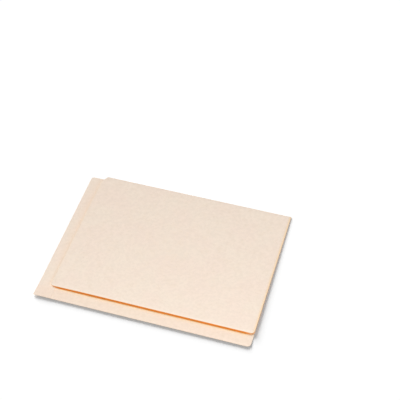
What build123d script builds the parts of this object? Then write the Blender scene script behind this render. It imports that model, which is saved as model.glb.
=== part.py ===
"""A letter-size end-tab manila folder, lying closed with its front leaf up.

Millimetres. +X runs along the fold, away from the end tab. +Y points to the fold and +Z up.
The origin is on the surface that the folder lies on, under the middle of its outline.
"""

import os
from math import asin, cos, degrees, pi, radians, sin

from build123d import *

# Card stock, and the dried glue under the tab's second ply
card_thickness = 0.28
glue_thickness = 0.05

# Outline of the closed folder, from the tab to the plain end and from the near edge to the fold
folder_length = 311.15
folder_height = 241.3

# The tab stands out past the front leaf and stops short of the fold
tab_projection = 16.7
tab_setback = 5.5

# The front leaf's near edge stays this far back from the back leaf's
front_drop = 20.9

# Clear height between the closed leaves: tight at the fold, sprung open at the mouth
fold_gap = 0.8
mouth_gap = 3.4

# The second ply laps this far under the front leaf, and its glue stays back from its edges
ply_lap = 9.5
glue_margin = 1.5

# Die-cut corners: the tab's far corner is rounder than its near one
leaf_corner_radius = 6.0
tab_near_radius = 1.5
tab_far_radius = 4.5
notch_radius = 1.5

# The front leaf's corner between the tab and the fold is cut off, so far along each side
corner_cut_fold = 7.0
corner_cut_side = 11.0

# Levels: the back leaf lies on the ground
back_top = card_thickness
ply_bottom = back_top + glue_thickness

# The closed fold is a rolled crease, about half a tube of card
fold_inner_radius = fold_gap / 2
fold_outer_radius = fold_inner_radius + card_thickness
fold_middle_radius = fold_inner_radius + card_thickness / 2
crease_length = pi * fold_middle_radius

# Places in plan: the tab is at the left, the fold is at the far side
tab_left = -folder_length / 2
panel_left = tab_left + tab_projection
panel_right = folder_length / 2
near_edge = -folder_height / 2
front_edge = near_edge + front_drop
fold_line = folder_height / 2 - fold_outer_radius
tab_far_edge = fold_line - tab_setback
glue_left = tab_left + glue_margin
glue_near = near_edge + glue_margin
glue_far = tab_far_edge - glue_margin

# The crease starts where the front leaf's cut corner meets the fold
crease_left = panel_left + corner_cut_fold

# Sizes in plan
panel_length = panel_right - panel_left
panel_height = fold_line - near_edge
front_height = fold_line - front_edge
tab_height = tab_far_edge - near_edge
crease_span = panel_right - crease_left
ply_width = tab_projection + ply_lap

# The closed front leaf tips up from the fold to the mouth
cover_tilt = degrees(asin((mouth_gap - fold_gap) / front_height))
tilt = radians(cover_tilt)
fold_axis = Axis((0, fold_line, fold_outer_radius), (1, 0, 0))
cover_plane = Plane(
    origin=(0, fold_line, fold_outer_radius),
    x_dir=(1, 0, 0),
    z_dir=(0, sin(tilt), cos(tilt)),
)

# The front leaf turns about a line along X. It lies half the crease's length past the fold
# line, so the crease is just long enough to lie flat when the folder is opened out.
hinge_y = fold_line + crease_length / 2
hinge_z = fold_outer_radius

near_left = (Align.MIN, Align.MIN)


def round_tab_corners(outline, left, near, far):
    """Rounds the two outer corners of the tab in a sketch, the far one more."""
    fillet(outline.vertices().sort_by_distance((left, near))[0], tab_near_radius)
    fillet(outline.vertices().sort_by_distance((left, far))[0], tab_far_radius)


# Back leaf: the panel up to the fold, and the tab and the panel's left side up to the notch
with BuildPart() as back_leaf:
    with BuildSketch() as back_outline:
        with Locations((crease_left, near_edge)):
            Rectangle(crease_span, panel_height, align=near_left)
        with Locations((tab_left, near_edge)):
            Rectangle(crease_left - tab_left, tab_height, align=near_left)
        round_tab_corners(back_outline, tab_left, near_edge, tab_far_edge)
        near_right_corner = back_outline.vertices().group_by(Axis.X)[-1].sort_by(Axis.Y)[0]
        fillet(near_right_corner, leaf_corner_radius)
        notch_corner = back_outline.vertices().sort_by_distance((crease_left, tab_far_edge))[0]
        fillet(notch_corner, notch_radius)
    extrude(amount=card_thickness)

# Tab ply: a second strip of card, cut with the tab along its outer edge
with BuildPart() as tab_ply:
    with BuildSketch(Plane.XY.offset(ply_bottom)) as ply_outline:
        with Locations((tab_left, near_edge)):
            Rectangle(ply_width, tab_height, align=near_left)
        round_tab_corners(ply_outline, tab_left, near_edge, tab_far_edge)
    extrude(amount=card_thickness)

# Glue film between the ply and the back leaf
with BuildPart() as tab_glue_film:
    with BuildSketch(Plane.XY.offset(back_top)) as glue_outline:
        with Locations((glue_left, glue_near)):
            Rectangle(ply_width - 2 * glue_margin, glue_far - glue_near, align=near_left)
        round_tab_corners(glue_outline, glue_left, glue_near, glue_far)
    extrude(amount=glue_thickness)

# Fold crease: the back leaf's far edge, rolled round to meet the front leaf's
with BuildPart() as fold_crease:
    with BuildSketch(Plane.XZ.offset(-fold_line)):
        with Locations((crease_left, 0)):
            Rectangle(crease_span, card_thickness, align=near_left)
    revolve(axis=fold_axis, revolution_arc=180 - cover_tilt)

# Front leaf: lower than the back leaf, ending where the tab begins, and tipped up at the mouth
with BuildPart() as front_leaf:
    with BuildSketch(cover_plane.offset(fold_inner_radius)) as front_outline:
        with Locations((panel_left, -front_height)):
            Rectangle(panel_length, front_height, align=near_left)
        near_corners = front_outline.vertices().group_by(Axis.Y)[0]
        fillet(near_corners, leaf_corner_radius)
        left_side = front_outline.edges().sort_by(Axis.X)[0]
        tab_corner = front_outline.vertices().sort_by_distance((panel_left, 0))[0]
        chamfer(tab_corner, corner_cut_side, corner_cut_fold, reference=left_side)
        cut_start = front_outline.vertices().sort_by_distance((panel_left, -corner_cut_side))[0]
        fillet(cut_start, leaf_corner_radius)
    extrude(amount=card_thickness)

back_leaf.part.label = "back_leaf"
tab_ply.part.label = "tab_ply"
tab_glue_film.part.label = "tab_glue_film"
fold_crease.part.label = "fold_crease"
front_leaf.part.label = "front_leaf"

os.makedirs("parts", exist_ok=True)
export_step(back_leaf.part, "parts/back_leaf.step")
export_step(tab_ply.part, "parts/tab_ply.step")
export_step(tab_glue_film.part, "parts/tab_glue_film.step")
export_step(fold_crease.part, "parts/fold_crease.step")
export_step(front_leaf.part, "parts/front_leaf.step")

print(f"front leaf turns about y {hinge_y:.4f}, z {hinge_z:.4f}")
print(f"front leaf tips up by {cover_tilt:.4f} degrees")
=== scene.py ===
# %% [markdown]
# An end-tab manila folder
#
# The real folder is one die-cut sheet of card, creased into a back leaf and a lower front leaf.
# A second ply of card is glued along the end tab to stiffen it.
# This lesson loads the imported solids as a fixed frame, then models the card around them in bpy.
# Every length is in metres, +X runs along the fold, +Y points to the fold and +Z is up.

# %% Load the frame
import math

import bmesh
import bpy
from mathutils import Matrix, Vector


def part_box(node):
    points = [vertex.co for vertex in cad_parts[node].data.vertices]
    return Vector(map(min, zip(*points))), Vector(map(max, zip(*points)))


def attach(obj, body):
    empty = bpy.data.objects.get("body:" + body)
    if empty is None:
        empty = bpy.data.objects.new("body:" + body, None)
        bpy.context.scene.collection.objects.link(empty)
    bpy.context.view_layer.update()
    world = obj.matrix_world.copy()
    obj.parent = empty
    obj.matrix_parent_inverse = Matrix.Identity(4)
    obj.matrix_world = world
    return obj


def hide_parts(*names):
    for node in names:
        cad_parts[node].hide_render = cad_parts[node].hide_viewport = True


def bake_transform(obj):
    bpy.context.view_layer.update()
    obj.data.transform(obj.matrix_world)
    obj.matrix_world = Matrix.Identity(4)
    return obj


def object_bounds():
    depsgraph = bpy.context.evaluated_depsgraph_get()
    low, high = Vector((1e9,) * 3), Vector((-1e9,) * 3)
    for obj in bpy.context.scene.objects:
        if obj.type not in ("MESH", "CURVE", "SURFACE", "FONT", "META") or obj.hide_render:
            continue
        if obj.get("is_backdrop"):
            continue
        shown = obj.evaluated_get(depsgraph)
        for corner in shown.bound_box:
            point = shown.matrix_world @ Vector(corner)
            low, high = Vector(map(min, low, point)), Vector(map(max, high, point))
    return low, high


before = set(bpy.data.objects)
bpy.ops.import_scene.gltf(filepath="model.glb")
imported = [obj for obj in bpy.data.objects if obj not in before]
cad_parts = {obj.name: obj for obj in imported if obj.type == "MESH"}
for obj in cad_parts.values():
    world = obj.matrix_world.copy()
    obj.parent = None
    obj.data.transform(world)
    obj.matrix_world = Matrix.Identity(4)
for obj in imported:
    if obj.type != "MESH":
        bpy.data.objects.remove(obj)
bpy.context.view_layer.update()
print("frame nodes:", sorted(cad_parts))

# %% [markdown]
# Places to build to
#
# A piece that stands for a solid has to lie where the solid lies.
# The numbers could be typed in again, but reading them from the frame keeps both in step.

# %% Read the places
back_low, back_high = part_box("back_leaf")
front_low, front_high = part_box("front_leaf")
ply_low, ply_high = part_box("tab_ply")
glue_low, glue_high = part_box("tab_glue_film")
crease_low, crease_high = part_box("fold_crease")

card_thickness = back_high.z - back_low.z
fold_line = back_high.y
crease_left = crease_low.x
tab_far_edge = ply_high.y
fold_height = crease_high.y - fold_line
fold_radius = fold_height - card_thickness / 2
cover_rise = front_high.z - 2 * fold_height
cover_tilt = math.asin(cover_rise / (fold_line - front_low.y))
print(f"card {card_thickness * 1000:.2f} mm, fold line at y {fold_line * 1000:.2f} mm")
print(f"front leaf tips up by {math.degrees(cover_tilt):.2f} degrees")

# %% [markdown]
# The camera
#
# The photograph looks down at about 48 degrees through a long lens.
# A camera can be placed by eye, but here its angle, distance and lens were solved from the
# folder's corners, so they are set as numbers. The focal length in pixels is for a 400 pixel frame.

# %% Place the camera
view_target = Vector((0.0161, 0.1159, 0.0))
view_azimuth = math.radians(16.46)
view_elevation = math.radians(47.84)
view_distance = 1.5808
focal_pixels = 1052.2
frame_pixels = 400
sensor_width = 36.0

towards_camera = Vector((
    math.sin(view_azimuth) * math.cos(view_elevation),
    -math.cos(view_azimuth) * math.cos(view_elevation),
    math.sin(view_elevation),
))
bpy.ops.object.camera_add(location=view_target + towards_camera * view_distance)
camera = bpy.context.object
camera.rotation_euler = (-towards_camera).to_track_quat("-Z", "Y").to_euler()
camera.data.sensor_width = sensor_width
camera.data.lens = sensor_width * focal_pixels / frame_pixels
bpy.context.scene.camera = camera
print(f"camera lens {camera.data.lens:.1f} mm")

# %% [markdown]
# A sheet of card to start from
#
# Every leaf starts as a flat plane that is stretched to its size, as by hand.
# Its size and place are then applied, so the object itself stays at the origin, unscaled.
# Points are picked in code by their place, where a hand would click on them.

# %% Helpers for a flat sheet
same_place = 0.00001
just_past = 0.000001


def new_sheet(name, left, right, near, far, height):
    """Adds a flat rectangle of card with its place in its mesh, and opens it for editing."""
    bpy.ops.object.select_all(action="DESELECT")
    middle = ((left + right) / 2, (near + far) / 2, height)
    bpy.ops.mesh.primitive_plane_add(size=1, location=middle)
    sheet = bpy.context.object
    sheet.name = name
    sheet.scale = (right - left, far - near, 1)
    bpy.ops.object.transform_apply(location=True, rotation=True, scale=True)
    bpy.ops.object.mode_set(mode="EDIT")
    return sheet


def pick_points(is_wanted):
    """Selects the points of the sheet being edited whose place passes a test."""
    bpy.ops.mesh.select_mode(type="VERT")
    bpy.ops.mesh.select_all(action="DESELECT")
    sheet_data = bpy.context.object.data
    editable = bmesh.from_edit_mesh(sheet_data)
    for point in editable.verts:
        if is_wanted(point.co):
            point.select_set(True)
    editable.select_flush_mode()
    bmesh.update_edit_mesh(sheet_data)


def near_to(place, reach=same_place):
    """A test that is true within reach of a place."""
    return lambda point: (point - place).length < reach


print(f"points within {same_place * 1000:.2f} mm count as the same place")

# %% [markdown]
# The back leaf's outline
#
# The back leaf is the tall panel that lies on the table, with the end tab along its left end.
# The tab stops a little short of the fold, so its outline has a notch there.
# The corners could be typed in one by one, but a few steps with operators are easier to follow:
# the panel is cut across at the notch, the edge below the cut is extruded to the left as the tab,
# and the inner lines are dissolved, which leaves one face with the real outline.

# %% Cut the back leaf's outline
flat_angle = math.radians(1)

back_leaf = new_sheet("back_leaf_card", crease_left, back_high.x, back_low.y, fold_line, 0.0)

bpy.ops.mesh.select_all(action="SELECT")
bpy.ops.mesh.bisect(plane_co=(0, tab_far_edge, 0), plane_no=(0, 1, 0))

pick_points(lambda p: p.x < crease_left + just_past and p.y < tab_far_edge + just_past)
tab_width = crease_left - back_low.x
bpy.ops.mesh.extrude_edges_move(TRANSFORM_OT_translate={"value": (-tab_width, 0, 0)})

bpy.ops.mesh.select_all(action="SELECT")
bpy.ops.mesh.dissolve_limited(angle_limit=flat_angle)
bpy.ops.mesh.normals_make_consistent(inside=False)
corner_count = len(bmesh.from_edit_mesh(back_leaf.data).verts)
print(f"back leaf outline has {corner_count} corners, notch at {tab_width * 1000:.1f} mm")

# %% [markdown]
# Die-cut corners
#
# The cutting die rounds the corners: a little on the tab, least at its near corner, and more at
# the plain end. They could be cut with a Boolean, but a vertex bevel with many segments rounds
# a corner of a flat face in one step.

# %% Round the back leaf's corners
leaf_corner_radius = 0.006
tab_near_radius = 0.0015
tab_far_radius = 0.0045
notch_radius = 0.0015
corner_segments = 10


def round_corner(place, radius):
    """Rounds one corner of the flat sheet being edited."""
    pick_points(near_to(Vector(place)))
    bpy.ops.mesh.bevel(offset=radius, segments=corner_segments, affect="VERTICES")


round_corner((back_low.x, back_low.y, 0), tab_near_radius)
round_corner((back_low.x, tab_far_edge, 0), tab_far_radius)
round_corner((crease_left, tab_far_edge, 0), notch_radius)
round_corner((back_high.x, back_low.y, 0), leaf_corner_radius)
print("back leaf points after rounding:", len(bmesh.from_edit_mesh(back_leaf.data).verts))

# %% [markdown]
# A grid that can bend
#
# One large face can't bend. Loop cuts would need a window, so the sheet is bisected
# many times, once for each grid line, which keeps the rounded outline as it is.

# %% Slice the back leaf
grid_spacing = 0.006
merge_reach = 0.00002


def slice_sheet(low, high):
    """Cuts the sheet being edited along evenly spaced lines in X and in Y."""
    for axis in (0, 1):
        cuts = round((high[axis] - low[axis]) / grid_spacing)
        direction = [0, 0, 0]
        direction[axis] = 1
        for cut in range(1, cuts):
            place = [0, 0, 0]
            place[axis] = low[axis] + (high[axis] - low[axis]) * cut / cuts
            bpy.ops.mesh.select_all(action="SELECT")
            bpy.ops.mesh.bisect(plane_co=place, plane_no=direction)
    bpy.ops.mesh.select_all(action="SELECT")
    bpy.ops.mesh.remove_doubles(threshold=merge_reach)
    return len(bmesh.from_edit_mesh(bpy.context.object.data).faces)


print("back leaf faces:", slice_sheet(back_low, back_high))

# %% [markdown]
# How the back leaf lies
#
# Card never lies quite flat. The near edge curls up a little off the table, evenly along its
# length, and that widens the soft shadow that the photograph shows below it.
# A Simple Deform modifier would bend the whole sheet. Proportional editing pulls one edge up and
# lets the rest follow; its Sharp falloff is a parabola, which is how a strip of card curls.

# %% Lift the near edge
near_lift = 0.0020
curl_reach = 0.040


def pull(is_wanted, rise, reach, falloff):
    """Moves points of the sheet being edited up or down, and lets those within reach follow."""
    pick_points(is_wanted)
    bpy.ops.transform.translate(
        value=(0, 0, rise),
        use_proportional_edit=True,
        proportional_edit_falloff=falloff,
        proportional_size=reach,
    )


pull(lambda p: p.y < back_low.y + just_past, near_lift, curl_reach, "SHARP")
bpy.ops.object.mode_set(mode="OBJECT")
back_heights = [point.co.z * 1000 for point in back_leaf.data.vertices]
print(f"back leaf rises from {min(back_heights):.2f} to {max(back_heights):.2f} mm")

# %% [markdown]
# The tab's second ply and its glue
#
# The ply is cut by the same die as the tab, so it shares the tab's outline and its bend.
# It could be drawn again from a new plane, but a copy of the bent sheet is sure to fit: it is
# bisected where the ply ends and raised onto the leaf. The film of dried glue is cut in the same
# way, a little inside the ply's edges.

# %% Cut the ply and the glue film from copies of the back leaf


def open_piece(piece):
    """Makes a piece the only one that is selected."""
    bpy.ops.object.select_all(action="DESELECT")
    piece.select_set(True)
    bpy.context.view_layer.objects.active = piece


def cut_copy(source, name, low, high):
    """Copies a sheet, trims it to a box in plan and raises it to the bottom of that box."""
    open_piece(source)
    bpy.ops.object.duplicate()
    copy = bpy.context.object
    copy.name = name
    bpy.ops.object.mode_set(mode="EDIT")
    for place, direction in (
        ((low.x, 0, 0), (-1, 0, 0)),
        ((high.x, 0, 0), (1, 0, 0)),
        ((0, low.y, 0), (0, -1, 0)),
        ((0, high.y, 0), (0, 1, 0)),
    ):
        bpy.ops.mesh.select_all(action="SELECT")
        bpy.ops.mesh.bisect(plane_co=place, plane_no=direction, clear_outer=True)
    bpy.ops.mesh.select_all(action="SELECT")
    bpy.ops.mesh.remove_doubles(threshold=merge_reach)
    bpy.ops.transform.translate(value=(0, 0, low.z))
    bpy.ops.object.mode_set(mode="OBJECT")
    return copy


tab_ply = cut_copy(back_leaf, "tab_ply_card", ply_low, ply_high)
glue_film = cut_copy(back_leaf, "tab_glue_layer", glue_low, glue_high)
print("ply faces:", len(tab_ply.data.polygons), "glue faces:", len(glue_film.data.polygons))

# %% [markdown]
# The front leaf's outline
#
# The front leaf is lower than the back, and ends where the tab begins. Its near corners are
# rounded. The corner between the tab and the fold is cut off at a slant, and the crease starts
# where that cut ends. One bisect makes the cut; its direction has to be of unit length.
# The leaf could be made in its tilted place, but corners are easier to round on a level face, so
# it is made level first, at the height of the fold.

# %% Cut the front leaf's outline
flat_height = 2 * fold_height - card_thickness
corner_cut_side = 0.011
corner_cut_fold = crease_left - front_low.x
cut_rounding = 0.002

front_leaf = new_sheet(
    "front_leaf_card", front_low.x, front_high.x, front_low.y, fold_line, flat_height
)
round_corner((front_low.x, front_low.y, flat_height), leaf_corner_radius)
round_corner((front_high.x, front_low.y, flat_height), leaf_corner_radius)

cut_start = Vector((front_low.x, fold_line - corner_cut_side, flat_height))
cut_direction = Vector((-corner_cut_side, corner_cut_fold, 0)).normalized()
bpy.ops.mesh.select_all(action="SELECT")
bpy.ops.mesh.bisect(plane_co=cut_start, plane_no=cut_direction, clear_outer=True)
round_corner(cut_start, cut_rounding)
front_far = Vector((front_high.x, fold_line, 0))
print("front leaf faces:", slice_sheet(front_low, front_far))

# %% [markdown]
# How the front leaf lies
#
# The leaf sags a little in the middle and beside the tab, and the crease springs it open.
# A cloth simulation could find the sags, but they are so slight that two pulls with a smooth
# falloff are enough. The whole sheet is then turned about the fold by the angle of the solid,
# so that it meets the crease.

# %% Sag the front leaf and tip it up
sag_place = Vector((0.0, 0.0, flat_height))
sag_core = 0.02
sag_depth = 0.0004
sag_reach = 0.085
tab_side_drop = 0.0007
tab_side_reach = 0.060

pull(near_to(sag_place, sag_core), -sag_depth, sag_reach, "SMOOTH")
pull(
    lambda p: p.x < front_low.x + just_past and p.y < 0,
    -tab_side_drop,
    tab_side_reach,
    "SMOOTH",
)

bpy.ops.mesh.select_all(action="SELECT")
bpy.ops.transform.rotate(
    value=cover_tilt,
    orient_axis="X",
    center_override=(0, fold_line, fold_height),
)
bpy.ops.object.mode_set(mode="OBJECT")
mouth_height = max(point.co.z for point in front_leaf.data.vertices)
print(f"front leaf rises to {mouth_height * 1000:.2f} mm at the mouth")

# %% [markdown]
# The fold crease
#
# The crease is about half a tube of card between the two far edges.
# A tube could be cut in half, but spinning an edge gives just the turn that is needed: one edge
# of a plane is kept, divided along its length, and spun about the fold.
# Spin numbers its points in no fixed order, so they are sorted by their distance from one place,
# and the mesh is the same on each run.

# %% Spin the crease
crease_steps = 24
crease_divisions = 28
spin_merge = 0.000001
sort_from = (-1.0, 0.3, 0.2)

crease = new_sheet(
    "fold_crease_card",
    crease_low.x,
    crease_high.x,
    fold_line - fold_radius,
    fold_line,
    fold_height - fold_radius,
)
pick_points(lambda p: p.y < fold_line - just_past)
bpy.ops.mesh.delete(type="VERT")
bpy.ops.mesh.select_all(action="SELECT")
bpy.ops.mesh.subdivide(number_cuts=crease_divisions)
bpy.ops.mesh.select_all(action="SELECT")
bpy.ops.mesh.spin(
    steps=crease_steps,
    angle=math.pi - cover_tilt,
    center=(0, fold_line, fold_height),
    axis=(-1, 0, 0),
)
bpy.ops.mesh.select_all(action="SELECT")
bpy.ops.mesh.remove_doubles(threshold=spin_merge)
bpy.ops.mesh.normals_make_consistent(inside=False)
bpy.context.scene.cursor.location = sort_from
bpy.ops.mesh.sort_elements(type="CURSOR_DISTANCE", elements={"VERT", "EDGE", "FACE"})
bpy.ops.object.mode_set(mode="OBJECT")
crease_far = max(point.co.y for point in crease.data.vertices)
print(f"crease reaches y {crease_far * 1000:.2f} mm, solid {crease_high.y * 1000:.2f} mm")

# %% [markdown]
# Thickness
#
# The sheets have no thickness yet. Their faces could be extruded, but a Solidify modifier keeps
# the thickness even where the card curves.
# The ply's inner edge is pressed thin, so that no step shows on the leaf: a vertex group holds
# the points with full thickness, and Solidify thins the rest.

# %% Helpers for thickness
pressed_share = 0.1


def keep_full(piece, is_wanted):
    """Groups the points of a sheet that keep their full thickness."""
    open_piece(piece)
    bpy.ops.object.mode_set(mode="EDIT")
    pick_points(is_wanted)
    bpy.context.scene.tool_settings.vertex_group_weight = 1.0
    bpy.ops.object.vertex_group_add()
    bpy.ops.object.vertex_group_assign()
    bpy.ops.object.mode_set(mode="OBJECT")


def thicken(piece, thickness, side):
    """Gives a sheet its thickness, upwards from the sheet or to both sides."""
    open_piece(piece)
    bpy.ops.object.modifier_add(type="SOLIDIFY")
    wall = piece.modifiers[-1]
    wall.thickness = thickness
    wall.offset = side
    wall.use_even_offset = True
    if piece.vertex_groups:
        wall.vertex_group = piece.vertex_groups[0].name
        wall.thickness_vertex_group = pressed_share
    bpy.ops.object.modifier_apply(modifier=wall.name)


print(f"a pressed edge keeps {pressed_share:.0%} of its thickness")

# %% [markdown]
# Pressed edges
#
# The die presses the cut edges, so they get a very small bevel, which catches the light. A Bevel
# modifier would round every sharp edge. The operator works on the picked ones alone, and the edges
# on the fold line stay sharp, because there the card runs on into the crease.

# %% Helpers for edges
edge_rounding = 0.00006
edge_segments = 2
sharp_angle = math.radians(60)
smooth_angle = math.radians(30)


def press_cut_edges(piece):
    """Bevels the sharp edges of a piece, apart from those on the fold line."""
    bpy.ops.object.mode_set(mode="EDIT")
    bpy.ops.mesh.select_mode(type="EDGE")
    bpy.ops.mesh.select_all(action="DESELECT")
    bpy.ops.mesh.edges_select_sharp(sharpness=sharp_angle)
    editable = bmesh.from_edit_mesh(piece.data)
    for edge in editable.edges:
        if all(abs(point.co.y - fold_line) < just_past for point in edge.verts):
            edge.select_set(False)
    bmesh.update_edit_mesh(piece.data)
    bpy.ops.mesh.bevel(offset=edge_rounding, segments=edge_segments, affect="EDGES")
    bpy.ops.object.mode_set(mode="OBJECT")


def smooth(piece):
    """Shades a piece smooth, apart from its sharp edges."""
    bpy.ops.object.shade_smooth_by_angle(angle=smooth_angle)
    print(f"{piece.name}: {len(piece.data.polygons)} faces")


print(f"cut edges are rounded by {edge_rounding * 1000:.2f} mm")

# %% [markdown]
# From sheets to card
#
# The leaves, the ply and the glue grow upwards, because each sheet is the underside of its piece.
# The crease grows to both sides, because its sheet is the middle of the card.

# %% Give the card its thickness
upwards = 1
both_sides = 0

keep_full(tab_ply, lambda p: p.x < ply_high.x - just_past)
for leaf in (back_leaf, tab_ply, front_leaf):
    thicken(leaf, card_thickness, upwards)
    press_cut_edges(leaf)
    smooth(leaf)
thicken(glue_film, glue_high.z - glue_low.z, upwards)
smooth(glue_film)
thicken(crease, card_thickness, both_sides)
smooth(crease)

# %% [markdown]
# Nodes for the finishes
#
# Card has no regular weave to draw. A picture of card could be laid on it, but noise textures at
# their real sizes stay sharp at any distance. They read Object coordinates, so a pattern runs on
# from piece to piece. A few helpers keep the node code short, first those for plain values.

# %% Helpers for values


def add_node(tree, kind, label, **settings):
    """Adds a labelled node and sets its own settings."""
    node = tree.nodes.new(kind)
    node.label = label
    for name, value in settings.items():
        setattr(node, name, value)
    return node


def add_math(tree, operation, first, second, label):
    """Adds a Math node; each input is a number or a socket."""
    node = add_node(tree, "ShaderNodeMath", label, operation=operation)
    for place, value in enumerate((first, second)):
        if isinstance(value, (int, float)):
            node.inputs[place].default_value = value
        else:
            tree.links.new(value, node.inputs[place])
    return node.outputs["Value"]


def add_product(tree, label, *shares):
    """Adds Math nodes that multiply shares together."""
    product = shares[0]
    for share in shares[1:]:
        product = add_math(tree, "MULTIPLY", product, share, label)
    return product


def add_range(tree, value, span, label, result=(0.0, 1.0)):
    """Adds a smooth Map Range node, from a span of values to a span of results."""
    node = add_node(tree, "ShaderNodeMapRange", label, interpolation_type="SMOOTHSTEP")
    tree.links.new(value, node.inputs["Value"])
    for name, number in zip(("From Min", "From Max", "To Min", "To Max"), (*span, *result)):
        node.inputs[name].default_value = number
    return node.outputs["Result"]


def add_parts(tree, place):
    """Adds a node that splits a place into its X and its Y."""
    node = add_node(tree, "ShaderNodeSeparateXYZ", "X and Y")
    tree.links.new(place, node.inputs["Vector"])
    return node.outputs["X"], node.outputs["Y"]


print("value helpers: math, product, range and parts")

# %% [markdown]
# Textures and colours
#
# A noise texture gives a value from 0 to 1 at each place, and a Mix node turns it into a colour
# between two others. A Color Ramp could do the same, but Mix nodes can follow one on another.

# %% Helpers for textures and colours
coarse_detail = 2.0
fine_detail = 3.0


def add_noise(tree, place, scale, detail, label, distortion=0.0):
    """Adds a Noise texture on a coordinate socket."""
    node = add_node(tree, "ShaderNodeTexNoise", label)
    tree.links.new(place, node.inputs["Vector"])
    node.inputs["Scale"].default_value = scale
    node.inputs["Detail"].default_value = detail
    node.inputs["Distortion"].default_value = distortion
    return node.outputs["Fac"]


def add_mix(tree, share, first, second, label, blend="MIX"):
    """Adds a colour Mix node; each colour is a tuple or a socket."""
    node = add_node(tree, "ShaderNodeMix", label, data_type="RGBA", blend_type=blend)
    if isinstance(share, (int, float)):
        node.inputs["Factor"].default_value = share
    else:
        tree.links.new(share, node.inputs["Factor"])
    for name, value in (("A", first), ("B", second)):
        socket = next(s for s in node.inputs if s.name == name and s.type == "RGBA")
        if isinstance(value, tuple):
            socket.default_value = (*value, 1.0)
        else:
            tree.links.new(value, socket)
    return next(s for s in node.outputs if s.type == "RGBA")


print(f"noise has {coarse_detail:.0f} or {fine_detail:.0f} layers of detail")

# %% [markdown]
# The pulp
#
# Pressed pulp is never one colour: wide clouds turn from pale to pink, small patches are tan, and
# a finer mottle darkens and lightens all of it. One noise can't be coarse and fine enough at once,
# so each has its own.

# %% Mix the colour of the pulp
pale_card = (0.915, 0.785, 0.662)
pink_card = (0.920, 0.770, 0.655)
tan_card = (0.875, 0.730, 0.595)
cloud_scale = 22.0
cloud_span = (0.35, 0.65)
patch_scale = 120.0
patch_span = (0.45, 0.75)
patch_most = 0.42
mottle_scale = 230.0
mottle_span = (0.30, 0.70)
mottle_tones = (0.968, 1.014)


def add_pulp(tree, place):
    """Adds the cloudy colour of the pulp, and returns it with the patches in it."""
    clouds = add_noise(tree, place, cloud_scale, fine_detail, "Clouds in the pulp")
    patches = add_noise(tree, place, patch_scale, fine_detail, "Patches in the pulp")
    mottle = add_noise(tree, place, mottle_scale, coarse_detail, "Mottle of the pulp")
    cloud_share = add_range(tree, clouds, cloud_span, "Cloud share")
    colour = add_mix(tree, cloud_share, pale_card, pink_card, "Pale to pink")
    patch_share = add_range(tree, patches, patch_span, "Patch share", (0.0, patch_most))
    colour = add_mix(tree, patch_share, colour, tan_card, "Tan patches")
    mottle_tone = add_range(tree, mottle, mottle_span, "Mottle tone", mottle_tones)
    colour = add_mix(tree, 1.0, colour, mottle_tone, "Mottled card", blend="MULTIPLY")
    return colour, patches


print(f"pulp patches are about {1000 / patch_scale:.0f} mm wide")

# %% [markdown]
# Tooth and fibres
#
# Close up, card has a fine tooth, and short fibres lie in it. Each could be drawn as a curve, but
# there are thousands. A twisted noise has long level lines, so the places where it is near its
# middle value make thin strands, and a second noise breaks them into short lengths.

# %% Add the fibres and the relief
fibre_tan = (0.690, 0.520, 0.370)
fibre_most = 0.30
fibre_rise = 0.6
strand_scale = 170.0
strand_twist = 1.6
strand_middle = 0.5
strand_width = 0.020
break_scale = 300.0
break_span = (0.52, 0.60)
relief_strength = 0.5


def add_fibres(tree, place, colour):
    """Adds stray fibres to a colour, and returns it with the fibres."""
    strands = add_noise(tree, place, strand_scale, coarse_detail, "Strands", strand_twist)
    breaks = add_noise(tree, place, break_scale, coarse_detail, "Breaks in the strands")
    offset = add_math(tree, "SUBTRACT", strands, strand_middle, "From the middle")
    offset = add_math(tree, "ABSOLUTE", offset, 0.0, "Either side")
    line = add_range(tree, offset, (strand_width, 0.0), "Thin lines")
    broken = add_range(tree, breaks, break_span, "Short lengths")
    fibre = add_product(tree, "Fibres", line, broken)
    share = add_product(tree, "Fibre share", fibre, fibre_most)
    return add_mix(tree, share, colour, fibre_tan, "Fibres on the card"), fibre


def add_relief(tree, shader, height, depth):
    """Adds a fine bump to a shader."""
    bump = add_node(tree, "ShaderNodeBump", "Fine relief")
    bump.inputs["Strength"].default_value = relief_strength
    bump.inputs["Distance"].default_value = depth
    tree.links.new(height, bump.inputs["Height"])
    tree.links.new(bump.outputs["Normal"], shader.inputs["Normal"])


print(f"fibres take up to {fibre_most:.0%} of the colour")

# %% [markdown]
# The band along the front leaf
#
# Light that gets in between the closed leaves is thrown to and fro, and some comes through the
# card, so the gap at the mouth is a deep orange. That glow is painted into the card's colour, in a
# band that needs the distance in plan to the front leaf's outline. A mask drawn in an image could
# give it, but the distance to a rounded rectangle is a short sum, and it is made from vector nodes.
# The rectangle runs on past the fold, which has no gap.

# %% Measure the distance to the front leaf's outline
past_fold = 0.1
band_wobble = 0.0006
band_outer = (0.0018, 0.0008)
band_inner = (-0.0100, -0.0030)


def add_vector(tree, operation, first, second, label):
    """Adds a Vector Math node on a socket and, where it takes one, a fixed vector."""
    node = add_node(tree, "ShaderNodeVectorMath", label, operation=operation)
    tree.links.new(first, node.inputs[0])
    if second is not None:
        node.inputs[1].default_value = second
    return node.outputs["Value" if operation == "LENGTH" else "Vector"]


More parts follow.
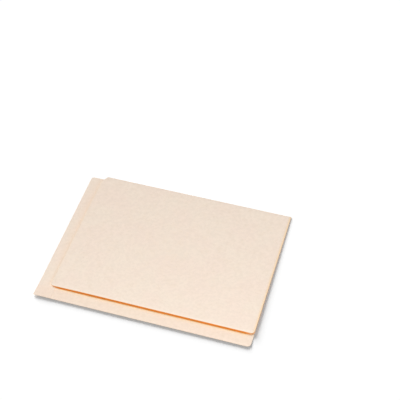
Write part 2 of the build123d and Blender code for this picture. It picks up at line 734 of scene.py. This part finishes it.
def add_outline_distance(tree, place):
    """Adds nodes for the distance in plan to the front leaf's outline, negative under the leaf."""
    far = fold_line + past_fold
    middle = ((front_low.x + front_high.x) / 2, (front_low.y + far) / 2, 0)
    half_length = (front_high.x - front_low.x) / 2 - leaf_corner_radius
    half_height = (far - front_low.y) / 2 - leaf_corner_radius
    flat = add_vector(tree, "MULTIPLY", place, (1, 1, 0), "Flatten")
    moved = add_vector(tree, "SUBTRACT", flat, middle, "From its middle")
    folded = add_vector(tree, "ABSOLUTE", moved, None, "One quarter")
    beyond = add_vector(tree, "SUBTRACT", folded, (half_length, half_height, 0), "Past the core")
    outside = add_vector(tree, "MAXIMUM", beyond, (0, 0, 0), "Only outside")
    length = add_vector(tree, "LENGTH", outside, None, "Distance outside")
    larger = add_math(tree, "MAXIMUM", *add_parts(tree, beyond), "Nearest side")
    inside = add_math(tree, "MINIMUM", larger, 0.0, "Distance inside")
    total = add_math(tree, "ADD", length, inside, "Distance to the core")
    return add_math(tree, "SUBTRACT", total, leaf_corner_radius, "Distance to the outline")


def add_band(tree, place, patches):
    """Adds a share that is 1 in an uneven band along the front leaf's outline."""
    distance = add_outline_distance(tree, place)
    wobble = add_product(tree, "Uneven line", patches, band_wobble)
    distance = add_math(tree, "ADD", distance, wobble, "Uneven distance")
    outer = add_range(tree, distance, band_outer, "Ends at the front leaf")
    inner = add_range(tree, distance, band_inner, "Fades under the leaf")
    return add_product(tree, "Band", outer, inner)


band_width = band_outer[0] - band_inner[0]
print(f"band is {band_width * 1000:.1f} mm wide with its soft sides")

# %% [markdown]
# The glow between the leaves
#
# The card itself is no different in the gap, and an open folder shows nothing of it. A lamp or a
# glowing shader in the gap would light an open folder too. So the painted glow is kept to faces that
# another one shuts in, and an Ambient Occlusion node measures how far a face is open.

# %% Measure how far a face is open
look_around = 0.030
look_samples = 16


def add_openness(tree):
    """Adds a value that is 1 on an open face and falls where another face lies close over it."""
    around = add_node(tree, "ShaderNodeAmbientOcclusion", "Faces near by", samples=look_samples)
    around.inputs["Distance"].default_value = look_around
    return around.outputs["AO"]


print(f"faces within {look_around * 1000:.0f} mm count as shutting in")

# %% [markdown]
# Painted light in the gap
#
# A deep orange glow is painted in the band, where the card is shut in, and a paler glow beside it;
# on the tab, a lighter colour is painted over the front leaf's shade. The glows are paler at the
# plain end, and the paler one stops short of the fold. A faint warm line of painted glow lies on
# the tab, and the strip before the mouth is a little warmer card. All of it could be drawn in an
# image, but ranges along X and Y fade softly, and most of them are set from the front leaf's own
# edges.

# %% Add the painted light of the gap
# Painted glow colour for the gap, the tab's warm line and the cut edge; also the strip's warmer tone
painted_glow_and_strip_tone = (1.000, 0.420, 0.060)
# Painted glow beside the front leaf, and a painted lighter colour over the leaf's shade on the tab
painted_side_glow = (1.000, 0.800, 0.480)
painted_tab_light = (1.000, 0.835, 0.670)
shut_span = (0.80, 0.62)
side_glow_span = (0.99, 0.65)
end_fade = 0.45
# Painted glow: shares of a faint warm line on the tab along the front leaf's edge
tab_glow_line_most = 0.06
tab_glow_line_least = 0.3
strip_most = 0.035
tab_span = (front_low.x + 0.016, front_low.x + 0.004)
free_span = (front_low.x + 0.001, front_low.x + 0.012)
tab_glow_line_span = (front_low.x - 0.012, front_low.x - 0.001)
end_span = (front_high.x - 0.014, front_high.x - 0.004)
fold_span = (fold_line - 0.010, fold_line - 0.030)
upper_span = (-0.095, -0.010)
strip_span = (front_low.y, front_low.y - 0.004)


def add_painted_gap_light(tree, place, colour, patches):
    """Adds the painted glow in and beside the gap, and the strip's warmer tone, to a colour."""
    along, across = add_parts(tree, place)
    openness = add_openness(tree)
    paler = add_range(tree, along, end_span, "Paler at the plain end", (1.0, end_fade))

    # Painted light: glow beside the front leaf, and a lighter colour over its shade on the tab
    on_tab = add_range(tree, along, tab_span, "On the tab")
    light = add_mix(tree, on_tab, painted_side_glow, painted_tab_light, "Painted glow or painted tab light")
    beside = add_range(tree, openness, side_glow_span, "Beside the front leaf")
    off_fold = add_range(tree, across, fold_span, "Off the fold")
    beside = add_product(tree, "Painted light beside the leaf", beside, paler, off_fold)
    colour = add_mix(tree, beside, colour, light, "Painted light through the leaf's edge")

    # Painted glow: deep orange light in the band, where the leaves shut the card in
    band = add_band(tree, place, patches)
    free = add_range(tree, along, free_span, "Not at the tab")
    shut_in = add_range(tree, openness, shut_span, "Shut in")
    toned = add_product(tree, "Painted glow band", band, free, paler, shut_in)
    colour = add_mix(tree, toned, colour, painted_glow_and_strip_tone, "Painted glow along the mouth")

    # Painted glow: a faint warm line on the tab along the front leaf's edge
    nearing = add_range(tree, along, tab_glow_line_span, "Nearing the leaf", (0.0, tab_glow_line_most))
    upper = add_range(tree, across, upper_span, "Towards the fold", (tab_glow_line_least, 1.0))
    warm = add_product(tree, "Warm line", nearing, upper)
    colour = add_mix(tree, warm, colour, painted_glow_and_strip_tone, "Painted glow line on the tab")
    strip = add_range(tree, across, strip_span, "Past the mouth", (0.0, strip_most))
    return add_mix(tree, strip, colour, painted_glow_and_strip_tone, "Toned strip")


print(f"the warm strip starts at y {strip_span[0] * 1000:.1f} mm")

# %% [markdown]
# Painted light on the front leaf's rims
#
# A paler highlight is painted on the front leaf's top along the mouth. Light that comes through
# its last millimetre, and through its ends, is painted in as a warmer colour. The rims could be
# separate faces with their own colours, but a range along X or Y fades softly and needs no extra
# edges.

# %% Add the painted light on the front leaf's rims
# Painted highlight along the mouth, and painted glow through the cut edge and at both ends
mouth_highlight_colour = (0.930, 0.830, 0.720)
mouth_highlight_width = 0.005
mouth_highlight_most = 0.9
lit_edge = (0.0009, 0.0003)
lit_edge_most = 0.6
painted_end_glow = (1.000, 0.720, 0.430)
end_glow_width = 0.004
plain_end_glow_most = 0.8
tab_end_glow_most = 0.15


def add_painted_rims(tree, place, colour):
    """Adds the painted highlight and painted glow of the front leaf's rims to a colour."""
    along, across = add_parts(tree, place)
    left, right, mouth = front_low.x, front_high.x, front_low.y
    # Painted highlight along the mouth
    share = add_range(tree, across, (mouth + mouth_highlight_width, mouth), "Mouth", (0.0, mouth_highlight_most))
    colour = add_mix(tree, share, colour, mouth_highlight_colour, "Painted highlight at the mouth")
    # Painted glow of light through the last millimetre at the mouth
    lit_span = (mouth + lit_edge[0], mouth + lit_edge[1])
    share = add_range(tree, across, lit_span, "Cut edge", (0.0, lit_edge_most))
    colour = add_mix(tree, share, colour, painted_glow_and_strip_tone, "Painted light through the cut edge")
    # Painted glow of light through the plain end and through the end at the tab
    share = add_range(tree, along, (right - end_glow_width, right), "Plain end", (0.0, plain_end_glow_most))
    colour = add_mix(tree, share, colour, painted_end_glow, "Painted glow at the plain end")
    share = add_range(tree, along, (left + end_glow_width, left), "Tab", (0.0, tab_end_glow_most))
    return add_mix(tree, share, colour, painted_end_glow, "Painted glow at the tab end")


print(f"mouth highlight is {mouth_highlight_width * 1000:.0f} mm wide")

# %% [markdown]
# The card's own material
#
# One function makes the manila for every face, so that all of it is the same card. Faces on the
# inside of the folder also take the painted glow of the gap, and the front leaf's top takes the
# painted light of its rims.

# %% Make the manila materials
tooth_scale = 1500.0
tooth_span = (0.3, 0.7)
tooth_roughness = (0.78, 0.92)
tooth_depth = 0.00006
matt_specular = 0.3


def new_material(name):
    """Makes a matt material, and returns it with its tree, its shader and its place."""
    material = bpy.data.materials.new(name)
    material.use_nodes = True
    tree = material.node_tree
    shader = tree.nodes["Principled BSDF"]
    shader.inputs["Specular IOR Level"].default_value = matt_specular
    place = add_node(tree, "ShaderNodeTexCoord", "Place on the piece").outputs["Object"]
    return material, tree, shader, place


def make_manila(name, glowing_gap=False, painted_rim_light=False):
    """Makes manila card, with the painted light of the gap or of the rims where it is wanted."""
    material, tree, shader, place = new_material(name)
    colour, patches = add_pulp(tree, place)
    if glowing_gap:
        colour = add_painted_gap_light(tree, place, colour, patches)
    if painted_rim_light:
        colour = add_painted_rims(tree, place, colour)
    colour, fibre = add_fibres(tree, place, colour)
    tree.links.new(colour, shader.inputs["Base Color"])
    tooth = add_noise(tree, place, tooth_scale, fine_detail, "Tooth")
    roughness = add_range(tree, tooth, tooth_span, "Roughness of the tooth", tooth_roughness)
    tree.links.new(roughness, shader.inputs["Roughness"])
    raised = add_product(tree, "Raised fibres", fibre, fibre_rise)
    height = add_math(tree, "ADD", tooth, raised, "Tooth and fibres")
    add_relief(tree, shader, height, tooth_depth)
    print(f"{name}: {len(tree.nodes)} nodes")
    return material


outside_card = make_manila("manila_outside")
inside_card = make_manila("manila_inside", glowing_gap=True)
rimmed_card = make_manila("manila_front_outside", painted_rim_light=True)

# %% [markdown]
# Cut edges and dried glue
#
# A cut edge shows the core of the card, a little deeper and furrier than its faces.
# The glue is a thin, yellowed film with a slight gloss, seen only at the ply's edges.
# Both are so narrow that two tones of one noise are enough for them.

# %% Make the edge and glue materials
edge_deep = (0.860, 0.520, 0.250)
edge_light = (0.920, 0.690, 0.440)
edge_scale = 1800.0
edge_roughness = (0.85, 0.97)
edge_depth = 0.00005
glue_clear = (0.800, 0.760, 0.660)
glue_yellow = (0.740, 0.670, 0.520)
glue_scale = 260.0
glue_roughness = (0.45, 0.7)
glue_depth = 0.00003
two_tone_detail = 4.0
two_tone_span = (0.3, 0.7)


def make_two_tone(name, scale, first, second, roughness_range, depth):
    """Makes a material of two mottled tones with a fine bump."""
    material, tree, shader, place = new_material(name)
    mottle = add_noise(tree, place, scale, two_tone_detail, "Mottle")
    share = add_range(tree, mottle, two_tone_span, "Share")
    colour = add_mix(tree, share, first, second, "Two tones")
    tree.links.new(colour, shader.inputs["Base Color"])
    roughness = add_range(tree, mottle, two_tone_span, "Roughness", roughness_range)
    tree.links.new(roughness, shader.inputs["Roughness"])
    add_relief(tree, shader, mottle, depth)
    print(f"{name}: {len(tree.nodes)} nodes")
    return material


cut_edge = make_two_tone(
    "manila_cut_edge", edge_scale, edge_deep, edge_light, edge_roughness, edge_depth
)
dried_glue = make_two_tone(
    "dried_glue_film", glue_scale, glue_clear, glue_yellow, glue_roughness, glue_depth
)

# %% [markdown]
# Dress the pieces
#
# Materials could be assigned by hand, face by face. Here each face takes its material from the way
# it points: up, down or sideways. On the crease, a face that points away from the fold's middle is
# outside.

# %% Assign the materials
facing = 0.5


def dress(piece, materials, choose):
    """Gives a piece its materials, and each face the one that is chosen for it."""
    piece.data.materials.clear()
    for material in materials:
        piece.data.materials.append(material)
    for face in piece.data.polygons:
        face.material_index = choose(face)


def leaf_side(face):
    """Chooses the upper side, the lower side or the rim of a leaf."""
    if face.normal.z > facing:
        return 0
    if face.normal.z < -facing:
        return 1
    return 2


def crease_side(face):
    """Chooses the outside, the inside or the ends of the crease."""
    outward = face.center - Vector((face.center.x, fold_line, fold_height))
    if abs(face.normal.x) > facing:
        return 2
    if face.normal.dot(outward) > 0:
        return 0
    return 1


dress(back_leaf, (inside_card, outside_card, cut_edge), leaf_side)
dress(tab_ply, (inside_card, outside_card, outside_card), leaf_side)
dress(front_leaf, (rimmed_card, inside_card, cut_edge), leaf_side)
dress(glue_film, (dried_glue, dried_glue, dried_glue), leaf_side)
dress(crease, (outside_card, inside_card, cut_edge), crease_side)
for piece in (back_leaf, tab_ply, front_leaf, glue_film, crease):
    rim_faces = sum(face.material_index == 2 for face in piece.data.polygons)
    print(f"{piece.name}: {rim_faces} faces on its rim")

# %% [markdown]
# Ride on the moving bodies
#
# The back leaf, ply and glue belong to the back cover, and the front leaf to the front cover.
# A rigid crease would part from one of them as the folder opens. It crosses the hinge, so it is
# tied to neither cover: its place is applied to its mesh, and it stays as it lies at rest.

# %% Tie the pieces to the frame
for piece, body, node, slot in (
    (back_leaf, "back_cover", "back_leaf", "manila_card"),
    (tab_ply, "back_cover", "tab_ply", "manila_ply"),
    (glue_film, "back_cover", "tab_glue_film", "dried_glue"),
    (front_leaf, "front_cover", "front_leaf", "manila_card"),
):
    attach(piece, body)
    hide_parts(node)

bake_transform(crease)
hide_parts("fold_crease")

# %% [markdown]
# The floor
#
# The folder lies on white paper that runs on without a horizon. A curved backdrop would do, but
# the camera looks down, so one wide plane fills the view. It lies a hair below the folder.

# %% Lay the floor
floor_span = 12.0
floor_drop = 0.00002

bpy.ops.object.select_all(action="DESELECT")
bpy.ops.mesh.primitive_plane_add(size=floor_span, location=(0, 0, -floor_drop))
floor = bpy.context.object
floor.name = "floor"
bpy.ops.object.transform_apply(location=True, rotation=True, scale=True)
floor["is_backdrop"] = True
print(f"floor {floor_span:.0f} m wide")

# %% [markdown]
# White to the camera
#
# To the camera the floor is a diffuse white with a little light of its own, so it reaches white
# but still shows the folder's shadow. With a lamp alone, the floor's white and the depth of its
# shadow would hang together, and the glow sets them apart. Other rays meet a plain white floor,
# so that the glow doesn't light the folder.

# %% Make the floor's paper
floor_white = (0.97, 0.97, 0.97, 1.0)
floor_glow = 0.20


def add_seen(tree):
    """Adds a share that is 1 for rays that show a background, and 0 for rays that light."""
    rays = add_node(tree, "ShaderNodeLightPath", "Kind of ray").outputs
    seen = add_math(tree, "MAXIMUM", rays["Is Camera Ray"], rays["Is Glossy Ray"], "Seen")
    return add_math(tree, "MAXIMUM", seen, rays["Is Transmission Ray"], "Seen through")


def add_choice(tree, lighting, seen, output):
    """Ends a tree with one shader for rays that light and another for rays that are seen."""
    choice = add_node(tree, "ShaderNodeMixShader", "Seen or lighting")
    tree.links.new(add_seen(tree), choice.inputs["Fac"])
    tree.links.new(lighting, choice.inputs[1])
    tree.links.new(seen, choice.inputs[2])
    end = add_node(tree, output, "End")
    tree.links.new(choice.outputs["Shader"], end.inputs["Surface"])


floor_paper = bpy.data.materials.new("white_floor")
floor_paper.use_nodes = True
tree = floor_paper.node_tree
tree.nodes.clear()
plain = add_node(tree, "ShaderNodeBsdfDiffuse", "Plain white")
plain.inputs["Color"].default_value = floor_white
glow = add_node(tree, "ShaderNodeEmission", "Lift to white")
glow.inputs["Strength"].default_value = floor_glow
lifted = add_node(tree, "ShaderNodeAddShader", "Lifted white")
tree.links.new(plain.outputs["BSDF"], lifted.inputs[0])
tree.links.new(glow.outputs["Emission"], lifted.inputs[1])
add_choice(tree, plain.outputs["BSDF"], lifted.outputs["Shader"], "ShaderNodeOutputMaterial")
floor.data.materials.append(floor_paper)
print(f"floor glow {floor_glow:.2f}")

# %% [markdown]
# The studio
#
# A dome of even light stands for the walls of a white studio. A picture of a real room would
# colour the card, so the dome is one plain strength, and the camera sees white instead.

# %% Light the dome
white = (1.0, 1.0, 1.0, 1.0)
dome_strength = 0.24
backdrop_strength = 1.0


def add_sky(tree, label, strength):
    """Adds an even white background."""
    sky = add_node(tree, "ShaderNodeBackground", label)
    sky.inputs["Color"].default_value = white
    sky.inputs["Strength"].default_value = strength
    return sky.outputs["Background"]


world = bpy.data.worlds.new("studio")
bpy.context.scene.world = world
world.use_nodes = True
tree = world.node_tree
tree.nodes.clear()
dome = add_sky(tree, "Dome", dome_strength)
backdrop = add_sky(tree, "White backdrop", backdrop_strength)
add_choice(tree, dome, backdrop, "ShaderNodeOutputWorld")
print(f"dome strength {dome_strength:.2f}")

# %% [markdown]
# The panels
#
# A wide panel stands behind on the left. A smaller panel in front reaches in under the front leaf,
# and makes the near side a little brighter than the far side. Spots would throw hard shadows on
# the strip; wide area lamps keep them soft.

# %% Hang the panels
key_direction = (-0.60, 0.70, 1.20)
key_distance = 10.0
key_size = 6.0
key_power = 615.0
fill_direction = (0.42, -1.0, 0.80)
fill_distance = 1.0
fill_size = 0.80
fill_power = 5.9


def add_panel(name, towards, distance, size, power):
    """Hangs a square lamp that looks at the folder."""
    direction = Vector(towards).normalized()
    bpy.ops.object.light_add(type="AREA", location=direction * distance)
    panel = bpy.context.object
    panel.name = name
    panel.rotation_euler = (-direction).to_track_quat("-Z", "Y").to_euler()
    panel.data.size = size
    panel.data.energy = power
    print(f"{name}: {power:.0f} W at {distance:.1f} m")
    return panel


key_panel = add_panel("key_panel", key_direction, key_distance, key_size, key_power)
fill_panel = add_panel("fill_panel", fill_direction, fill_distance, fill_size, fill_power)

# %% [markdown]
# A sun for the floor
#
# In the photograph a soft shadow lies on the floor along the near and right edges, as from a low
# lamp, but the front leaf throws none on the strip before it. One lamp cannot do both. So the floor
# has a lamp of its own, a low and wide sun, and light linking keeps each lamp to its own things.

# %% Light the floor alone
sun_direction = Vector((0.60, -0.70, -0.33))
sun_spread = math.radians(34)
sun_strength = 5.75


def link_floor(lamp, state):
    """Lets a lamp light the floor alone, or all but the floor."""
    bpy.ops.object.select_all(action="DESELECT")
    floor.select_set(True)
    lamp.select_set(True)
    bpy.context.view_layer.objects.active = lamp
    bpy.ops.object.light_linking_receivers_link(link_state=state)


bpy.ops.object.light_add(type="SUN", location=(0, 0, 1))
floor_sun = bpy.context.object
floor_sun.name = "floor_sun"
floor_sun.rotation_euler = sun_direction.to_track_quat("-Z", "Y").to_euler()
floor_sun.data.angle = sun_spread
floor_sun.data.energy = sun_strength
link_floor(key_panel, "EXCLUDE")
link_floor(fill_panel, "EXCLUDE")
link_floor(floor_sun, "INCLUDE")
bpy.context.scene.view_settings.view_transform = "Standard"
print(f"floor_sun: strength {sun_strength:.2f}")

# %% [markdown]
# Sizes, and the end
#
# The dressed folder has to stay within the solids' box, so its size is printed.

# %% Write the sizes and finish
dressed_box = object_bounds()
dressed_size = [round(side * 1000, 2) for side in dressed_box[1] - dressed_box[0]]
print("dressed folder measures", dressed_size, "mm")
